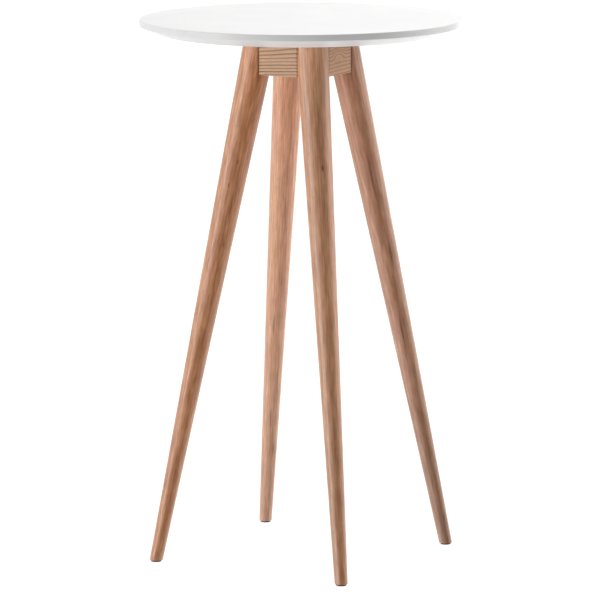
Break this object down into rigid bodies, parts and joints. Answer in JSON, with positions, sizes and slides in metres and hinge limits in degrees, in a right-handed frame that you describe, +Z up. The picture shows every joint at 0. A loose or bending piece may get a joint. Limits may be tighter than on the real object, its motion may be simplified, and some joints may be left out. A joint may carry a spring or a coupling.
{
  "type": "bar table",
  "caption": "Round white bar-height table on a square ash apron with cut corners and tall splayed, tapered round legs.",
  "frame": {"origin": "on the floor, under the middle of the round top", "axes": "+Z up the table's height; the apron's sides face +X, +Y, -X and -Y, and the legs stand on the diagonals"},
  "size_m": [0.65, 0.65, 1.1],
  "materials": {
    "white_lacquer": "satin white lacquer on fibreboard",
    "apron_ash": "matt clear oil on ash, grain along the rail",
    "leg_ash": "matt clear oil on turned ash, grain along the leg",
    "block_beech": "sawn and planed beech, unfinished",
    "zinc_steel": "bright zinc plate",
    "glide_plastic": "moulded black polyethylene"
  },
  "bodies": {
    "root": {"tabletop": "white_lacquer", "rail_right": "apron_ash", "bracket_right": "zinc_steel", "rail_screws_right": "zinc_steel", "top_screws_right": "zinc_steel", "block_screws_right": "zinc_steel", "rail_back": "apron_ash", "bracket_back": "zinc_steel", "rail_screws_back": "zinc_steel", "top_screws_back": "zinc_steel", "block_screws_back": "zinc_steel", "rail_left": "apron_ash", "bracket_left": "zinc_steel", "rail_screws_left": "zinc_steel", "top_screws_left": "zinc_steel", "block_screws_left": "zinc_steel", "rail_front": "apron_ash", "bracket_front": "zinc_steel", "rail_screws_front": "zinc_steel", "top_screws_front": "zinc_steel", "block_screws_front": "zinc_steel", "corner_block_back_right": "block_beech", "leg_back_right": "leg_ash", "glide_back_right": "glide_plastic", "glide_nail_back_right": "zinc_steel", "hanger_bolts_back_right": "zinc_steel", "washers_back_right": "zinc_steel", "nuts_back_right": "zinc_steel", "corner_block_back_left": "block_beech", "leg_back_left": "leg_ash", "glide_back_left": "glide_plastic", "glide_nail_back_left": "zinc_steel", "hanger_bolts_back_left": "zinc_steel", "washers_back_left": "zinc_steel", "nuts_back_left": "zinc_steel", "corner_block_front_left": "block_beech", "leg_front_left": "leg_ash", "glide_front_left": "glide_plastic", "glide_nail_front_left": "zinc_steel", "hanger_bolts_front_left": "zinc_steel", "washers_front_left": "zinc_steel", "nuts_front_left": "zinc_steel", "corner_block_front_right": "block_beech", "leg_front_right": "leg_ash", "glide_front_right": "glide_plastic", "glide_nail_front_right": "zinc_steel", "hanger_bolts_front_right": "zinc_steel", "washers_front_right": "zinc_steel", "nuts_front_right": "zinc_steel"}
  },
  "joints": []
}
